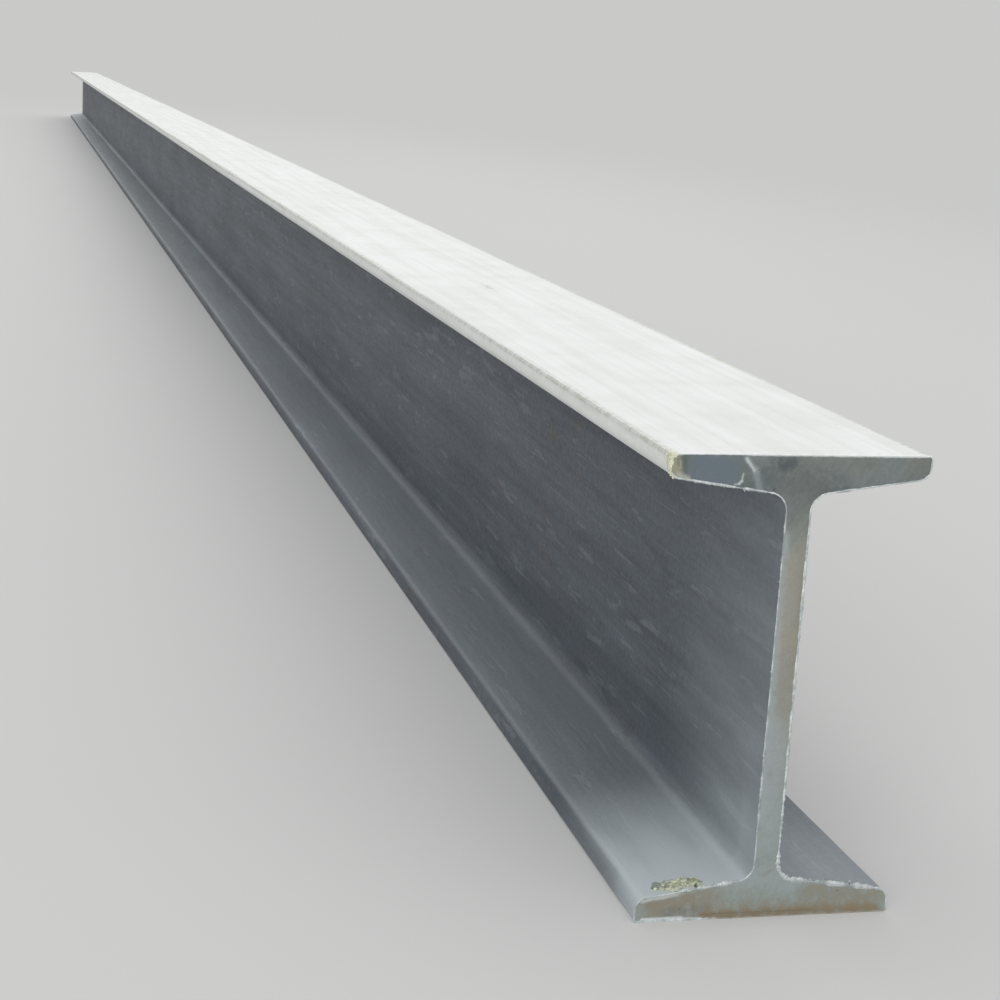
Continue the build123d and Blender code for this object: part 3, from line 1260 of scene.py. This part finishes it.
def near_marks(graph, colours, place, at_near_end, colour):
    """The near end's own marks over a colour."""
    flat = graph.vector("MULTIPLY", place, (1.0, 0.0, 1.0))
    waver = graph.noise(place, 1 / (2.2 * MM))[1]
    waver = graph.vector("MULTIPLY", graph.vector("SUBTRACT", waver, (0.5, 0.5, 0.5)),
                         (0.7 * MM, 0.0, 0.7 * MM))
    flat = graph.vector("ADD", flat, waver)
    ragged = graph.noise(place, 1 / (3.4 * MM), detail=4.5, roughness=0.72)[0]
    for _, *ends, width, softness, name, cover in NEAR_MARKS:
        start, end = ((x * MM, 0.0, z * MM) for x, z in ends)
        mask = graph.use("stroke", flat, start, end, width * MM)
        raggedness = MARK_RAGGEDNESS * min(width / BROAD_MARK, 1)
        torn = graph.scaled(ragged, raggedness, 1 - raggedness / 2)
        mask = graph.fade(graph.times(mask, torn), 0.0, softness)
        share = graph.times(mask, graph.times(at_near_end, cover))
        colour = graph.blend(share, colour, getattr(colours, name))
    return colour


# Where the burr turns from bright to tan, from left to right.
TAN_EDGE = (-19 * MM, -11 * MM)


def burr_material(colours):
    """Torn bright steel, duller in its hollows and tan along the lower edge, with painted sunlight
    along its top edge.
    """
    material, graph, surface = new_material("bright_burr")
    grain = graph.texture("burr grain")
    colour = graph.blend(
        graph.texture("burr clouds"), colours.bright_steel, colours.sawn_cool)
    colour = graph.tint(colour, grain, 0.25, colours.sawn_grey)
    across, _, height = graph.axes(graph.place())
    low = graph.fade(height, 1.6 * MM, 0.8 * MM, high=0.75)
    low = graph.times(low, graph.fade(across, *TAN_EDGE))
    colour = graph.blend(low, colour, colours.sawn_tan)
    # Painted sunlight: the near-white of the upper flange's top carried over the burr's top edge.
    high = graph.fade(height, HEIGHT - 1.4 * MM, HEIGHT - 0.6 * MM)
    colour = graph.blend(high, colour, colours.sunlit_white)
    roughness = graph.scaled(grain, 0.2, 0.32)
    finish_surface(graph, surface, colour, roughness, 0.35, grain, 0.05 * MM)
    return material


def crust_material(colours):
    """Crumbly crust, cream on the upper flange and yellow-green on the lower one, with dark olive
    spots and hollows there that paint the shade between its lumps.
    """
    material, graph, surface = new_material("dry_crust")
    place = graph.place()
    across, _, height = graph.axes(place)
    clouds = graph.texture("crust clouds")
    grain = graph.texture("crust grain")
    thin = graph.fade(across, PATCH_CENTRE[0], PATCH_THIN_END)
    patch = graph.tint(colours.crust_green, clouds, 0.5, colours.dust)
    patch = graph.tint(patch, thin, 0.7, colours.scale_light)
    patch = graph.tint(patch, graph.texture("crust cream"), 0.8, colours.crust_cream)
    # Dark olive spots and hollows: painted shade between the crust's lumps.
    dark_spots_and_shade = graph.times(graph.texture("crust damp"), graph.fade(thin, 1.0, 0.0, 0.15, 0.5))
    dark_spots_and_shade = graph.math("MAXIMUM", dark_spots_and_shade, near_end_strokes(graph, place, PATCH_HOLLOWS, 0.5))
    patch = graph.blend(dark_spots_and_shade, patch, colours.crust_dark)
    toe = graph.tint(colours.crust_cream, clouds, 0.3, colours.sawn_stain)
    high = graph.fade(height, 0.4 * HEIGHT, 0.6 * HEIGHT)
    colour = graph.blend(high, patch, toe)
    colour = graph.tint(colour, grain, 0.2, colours.sawn_stain)
    finish_surface(graph, surface, colour, 0.85, 0.0, grain, 0.15 * MM)
    return material


# Stage

FLOOR_HALF_SIZE = 90.0
FLOOR_FADE = (0.4, 2.6)
LENGTHWISE_SQUEEZE = 0.32
NEAREST_SEEN = 0.01


def seen_by_eye(graph):
    """Rays from the camera, straight or by way of gloss or glass."""
    path = graph.add("ShaderNodeLightPath").outputs
    straight = graph.math("ADD", path["Is Camera Ray"], path["Is Glossy Ray"])
    both = graph.math("ADD", straight, path["Is Transmission Ray"])
    return graph.math("MINIMUM", both, 1.0)


def floor_material(look):
    """A matt floor whose far parts melt into the backdrop."""
    material, graph, surface = new_material("pale_floor")
    colour = graph.tint(look.floor, graph.texture("floor clouds"), 0.08, look.backdrop)
    graph.feed(surface.inputs["Base Color"], colour)
    surface.inputs["Roughness"].default_value = 0.85
    surface.inputs["Specular IOR Level"].default_value = 0.2
    squeezed = graph.vector("MULTIPLY", graph.place(), (1.0, LENGTHWISE_SQUEEZE, 0.0))
    distance = graph.vector("LENGTH", squeezed, output=1)
    far = graph.times(graph.fade(distance, *FLOOR_FADE), seen_by_eye(graph))
    glow = graph.add("ShaderNodeEmission", {"Color": look.backdrop})
    mix = graph.add("ShaderNodeMixShader", {
        0: far, 1: surface.outputs[0], 2: glow.outputs[0]})
    graph.feed(material.node_tree.nodes["Material Output"].inputs["Surface"], mix.outputs[0])
    return material


def light_world(look):
    """Even light from all round, which the camera sees as the backdrop."""
    world = bpy.data.worlds.new("studio")
    world.use_nodes = True
    world.node_tree.nodes.clear()
    graph = Graph(world.node_tree)
    light = graph.add("ShaderNodeBackground", {"Color": (1.0, 1.0, 1.0),
                                               "Strength": look.sky})
    seen = graph.add("ShaderNodeBackground", {"Color": look.backdrop})
    mix = graph.add("ShaderNodeMixShader", {
        0: seen_by_eye(graph), 1: light.outputs[0], 2: seen.outputs[0]})
    graph.add("ShaderNodeOutputWorld", {"Surface": mix.outputs[0]})
    bpy.context.scene.world = world


def add_lamp(name, place, target, size, strength):
    """A soft lamp that lights a white face at the target to this strength."""
    lamp = bpy.data.lights.new(name, "AREA")
    lamp.shape = "RECTANGLE"
    lamp.size, lamp.size_y = size
    away = Vector(place) - Vector(target)
    lamp.energy = strength * pi ** 2 * away.length_squared
    holder = bpy.data.objects.new(name, lamp)
    bpy.context.scene.collection.objects.link(holder)
    holder.location = place
    holder.rotation_euler = away.to_track_quat("Z", "Y").to_euler()


def add_camera(look):
    """The camera at the photograph's viewing angle."""
    near_end = Vector(MOUNTS["near_end"])
    away = Vector((-sin(look.camera_azimuth) * cos(look.camera_elevation),
                   -cos(look.camera_azimuth) * cos(look.camera_elevation),
                   sin(look.camera_elevation)))
    place = near_end + away * look.camera_distance
    aim = Vector((0.0, near_end.y + look.aim_depth, look.aim_height))
    turn = (aim - place).to_track_quat("-Z", "Y").to_matrix()
    turn = turn @ Matrix.Rotation(look.camera_roll, 3, "Z")
    camera = bpy.data.cameras.new("camera")
    camera.lens = look.lens
    camera.clip_start = NEAREST_SEEN
    holder = bpy.data.objects.new("camera", camera)
    bpy.context.scene.collection.objects.link(holder)
    holder.matrix_world = Matrix.Translation(place) @ turn.to_4x4()
    bpy.context.scene.camera = holder


class STEEL_OT_rolled_beam(bpy.types.Operator):
    """Build the beam with its rolled skin and sawn faces"""

    bl_idname = "steel_beam.rolled_beam"
    bl_label = "Rolled Beam"

    def execute(self, context):
        scene = context.scene
        mesh = beam_mesh(scene.beam_section, scene.sawn_ends)
        colours = scene.steel_colours
        skins = (mill_scale_material(colours), sawn_steel_material(colours))
        beam = place_piece("rolled_beam", mesh, skins)
        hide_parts(NODE)
        return {"FINISHED"}


class STEEL_OT_saw_burrs(bpy.types.Operator):
    """Add the burrs and torn slivers that the saw left at both ends"""

    bl_idname = "steel_beam.saw_burrs"
    bl_label = "Saw Burrs"

    def execute(self, context):
        ends = context.scene.sawn_ends
        section = Section(context.scene.beam_section)
        steel = burr_material(context.scene.steel_colours)
        for name, side, burr_seed, sliver_seed in BURR_PIECES:
            edge = SawnEdge(section, ends, side)
            parts = [burr_strip(edge, ends, burr_seed), *slivers(edge, ends, sliver_seed)]
            place_piece(name, joined_mesh(name, parts, BURR_SHARP_ANGLE), [steel])
        return {"FINISHED"}


class STEEL_OT_crusts(bpy.types.Operator):
    """Add the crusts by the near end"""

    bl_idname = "steel_beam.crusts"
    bl_label = "Crusts"

    def execute(self, context):
        deposits = context.scene.deposits
        section = Section(context.scene.beam_section)
        rng = np.random.default_rng(CRUST_SEED)
        crust = crust_material(context.scene.steel_colours)
        for name, grains in (("flange_crust", patch_grains), ("toe_crust", toe_grains)):
            mesh = joined_mesh(name, grains(section, deposits, rng), CRUST_SHARP_ANGLE)
            place_piece(name, mesh, [crust])
        return {"FINISHED"}


class STEEL_OT_stage(bpy.types.Operator):
    """Add the floor, the lamps and the camera"""

    bl_idname = "steel_beam.stage"
    bl_label = "Stage"

    def execute(self, context):
        look = context.scene.stage_look
        bpy.ops.mesh.primitive_plane_add(size=2 * FLOOR_HALF_SIZE)
        floor = context.object
        floor.name = "floor"
        floor.data.materials.append(floor_material(look))
        light_world(look)
        near = MOUNTS["near_end"]
        far = MOUNTS["far_end"]
        add_lamp("top_lamp", (0.2, -0.6, 4.0), (0, 0, HEIGHT), (5.2, 13.0), look.top_lamp)
        add_lamp("front_lamp", (-6.5, -14.0, 3.9), near, (10.0, 7.0), look.front_lamp)
        add_lamp("back_lamp", (2.4, 16.0, 4.3), far, (10.0, 7.0), look.back_lamp)
        add_camera(look)
        context.scene.view_settings.view_transform = "Standard"
        return {"FINISHED"}


OPERATORS = (STEEL_OT_rolled_beam, STEEL_OT_saw_burrs, STEEL_OT_crusts, STEEL_OT_stage)
SETTINGS = {
    "beam_section": BeamSection,
    "sawn_ends": SawnEnds,
    "deposits": Deposits,
    "steel_colours": SteelColours,
    "stage_look": StageLook,
}


class STEEL_PT_beam(bpy.types.Panel):
    """Settings and steps of the steel beam"""

    bl_idname = "STEEL_PT_beam"
    bl_label = "Steel Beam"
    bl_space_type = "VIEW_3D"
    bl_region_type = "UI"
    bl_category = "Steel Beam"

    def draw(self, context):
        for name, settings in SETTINGS.items():
            box = self.layout.box()
            box.label(text=name.replace("_", " ").capitalize())
            for item in settings.__annotations__:
                box.prop(getattr(context.scene, name), item)
        for operator in OPERATORS:
            self.layout.operator(operator.bl_idname)


def register():
    for kind in (*SETTINGS.values(), *OPERATORS, STEEL_PT_beam):
        bpy.utils.register_class(kind)
    for name, settings in SETTINGS.items():
        setattr(bpy.types.Scene, name, PointerProperty(type=settings))


def unregister():
    for name in SETTINGS:
        delattr(bpy.types.Scene, name)
    for kind in reversed((*SETTINGS.values(), *OPERATORS, STEEL_PT_beam)):
        bpy.utils.unregister_class(kind)


def main():
    register()
    bpy.ops.steel_beam.rolled_beam()
    bpy.ops.steel_beam.saw_burrs()
    bpy.ops.steel_beam.crusts()
    bpy.ops.steel_beam.stage()


if __name__ == "__main__":
    main()
